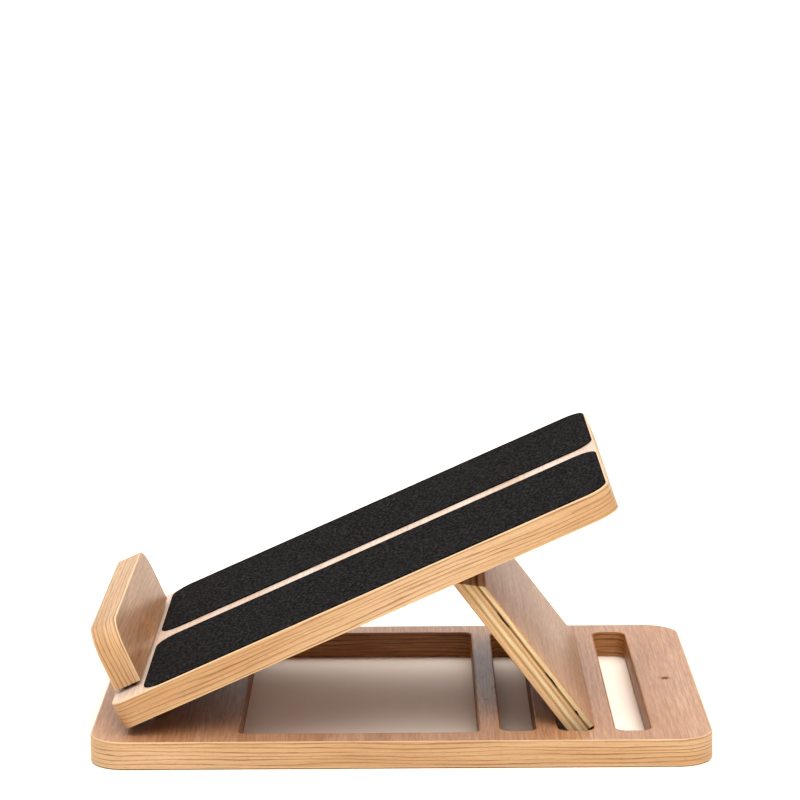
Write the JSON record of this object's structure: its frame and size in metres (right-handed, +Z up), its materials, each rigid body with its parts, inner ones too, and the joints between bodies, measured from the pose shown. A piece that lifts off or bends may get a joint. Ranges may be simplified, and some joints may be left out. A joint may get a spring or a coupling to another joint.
{
  "type": "slant board",
  "caption": "Wooden calf-stretching slant board: a slotted base, a tilting foot platform with grip strips and a heel stop, and a folding plywood prop.",
  "frame": {"origin": "centre of the base's underside, on the floor", "axes": "+X from the heel end to the high end, +Y to the left of somebody standing on the board, +Z up"},
  "size_m": [0.4018, 0.3, 0.1805],
  "materials": {
    "face_wood": "satin",
    "edge_band": "satin",
    "plywood": "matt, raw sawn edges",
    "grip": "matt and gritty",
    "hinges": "zinc plated",
    "screws": "zinc plated"
  },
  "bodies": {
    "base": {"base_board": "face_wood", "base_edge_band": "edge_band", "main_hinge_left_base_leaf": "hinges", "main_hinge_left_base_screw_1": "screws", "main_hinge_left_base_screw_2": "screws", "main_hinge_left_pin": "hinges", "main_hinge_right_base_leaf": "hinges", "main_hinge_right_base_screw_1": "screws", "main_hinge_right_base_screw_2": "screws", "main_hinge_right_pin": "hinges"},
    "platform": {"platform_board": "face_wood", "platform_edge_band": "edge_band", "grip_strip_left": "grip", "grip_strip_right": "grip", "heel_stop": "face_wood", "heel_stop_edge_band": "edge_band", "heel_stop_screw_1": "screws", "heel_stop_screw_2": "screws", "heel_stop_screw_3": "screws", "heel_stop_spacer_1": "screws", "heel_stop_spacer_2": "screws", "heel_stop_spacer_3": "screws", "main_hinge_left_platform_leaf": "hinges", "main_hinge_left_platform_screw_1": "screws", "main_hinge_left_platform_screw_2": "screws", "prop_hinge_left_platform_leaf": "hinges", "prop_hinge_left_platform_screw_1": "screws", "prop_hinge_left_platform_screw_2": "screws", "main_hinge_right_platform_leaf": "hinges", "main_hinge_right_platform_screw_1": "screws", "main_hinge_right_platform_screw_2": "screws", "prop_hinge_right_platform_leaf": "hinges", "prop_hinge_right_platform_screw_1": "screws", "prop_hinge_right_platform_screw_2": "screws"},
    "prop": {"prop_board": "plywood", "prop_hinge_left_prop_leaf": "hinges", "prop_hinge_left_prop_screw_1": "screws", "prop_hinge_left_prop_screw_2": "screws", "prop_hinge_left_pin": "hinges", "prop_hinge_right_prop_leaf": "hinges", "prop_hinge_right_prop_screw_1": "screws", "prop_hinge_right_prop_screw_2": "screws", "prop_hinge_right_pin": "hinges"}
  },
  "joints": [
    {"name": "platform_tilt", "type": "hinge", "parent": "base", "child": "platform", "pos_m": [-0.176, 0, 0.0205], "axis": [0, -1, 0], "range_deg": [0, 67]},
    {"name": "prop_fold", "type": "hinge", "parent": "platform", "child": "prop", "pos_m": [0.03046, 0, 0.11242], "axis": [0, 1, 0], "range_deg": [0, 95.9]}
  ],
  "couplings": [
    {"joint": "prop_fold", "follows": "platform_tilt", "ratio": 1.43}
  ]
}
